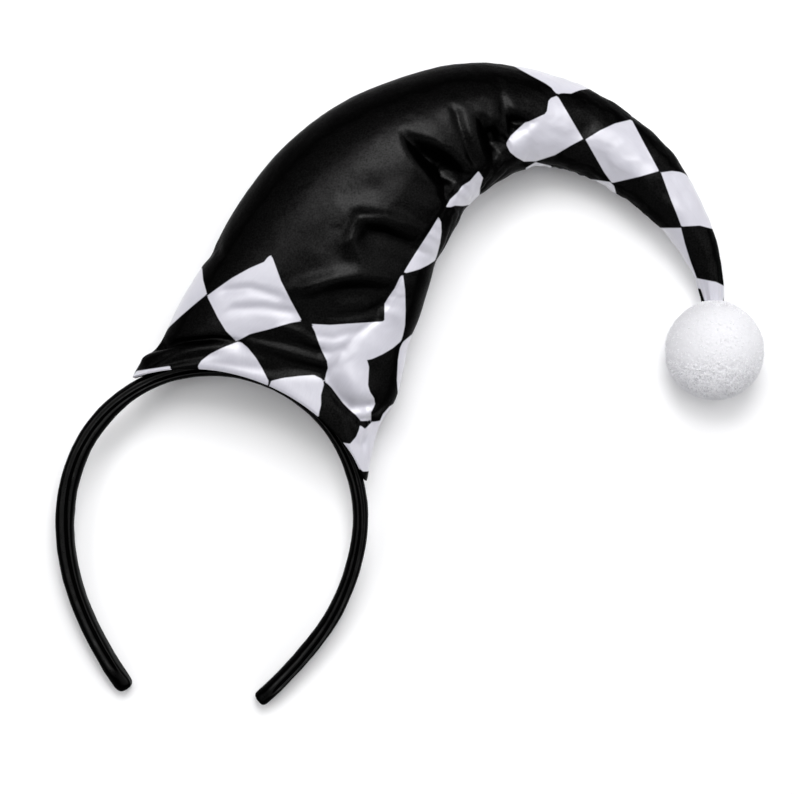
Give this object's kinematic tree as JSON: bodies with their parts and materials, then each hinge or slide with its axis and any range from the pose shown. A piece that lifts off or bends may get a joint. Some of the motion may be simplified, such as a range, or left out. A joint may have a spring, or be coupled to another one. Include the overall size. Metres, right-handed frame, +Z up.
{
  "type": "jester hat headband",
  "caption": "Costume headband with a stuffed black and white harlequin satin horn that curls over to the side and ends in a white felted ball, shown lying flat.",
  "frame": {"origin": "middle of the whole outline seen from above, on the surface that the hat lies on", "axes": "+Z up from the surface; +Y from the headband's tips towards the top of the horn; +X towards the side that the horn curls to and its ball"},
  "size_m": [0.2934, 0.2678, 0.0559],
  "materials": {
    "black_satin": "soft satin sheen, closely wrapped cloth cover",
    "printed_satin": "satin sheen, black ground printed with white harlequin diamonds",
    "white_felt": "matt felted nap"
  },
  "bodies": {
    "root": {"headband": "black_satin", "horn": "printed_satin", "pompom": "white_felt"}
  },
  "joints": []
}
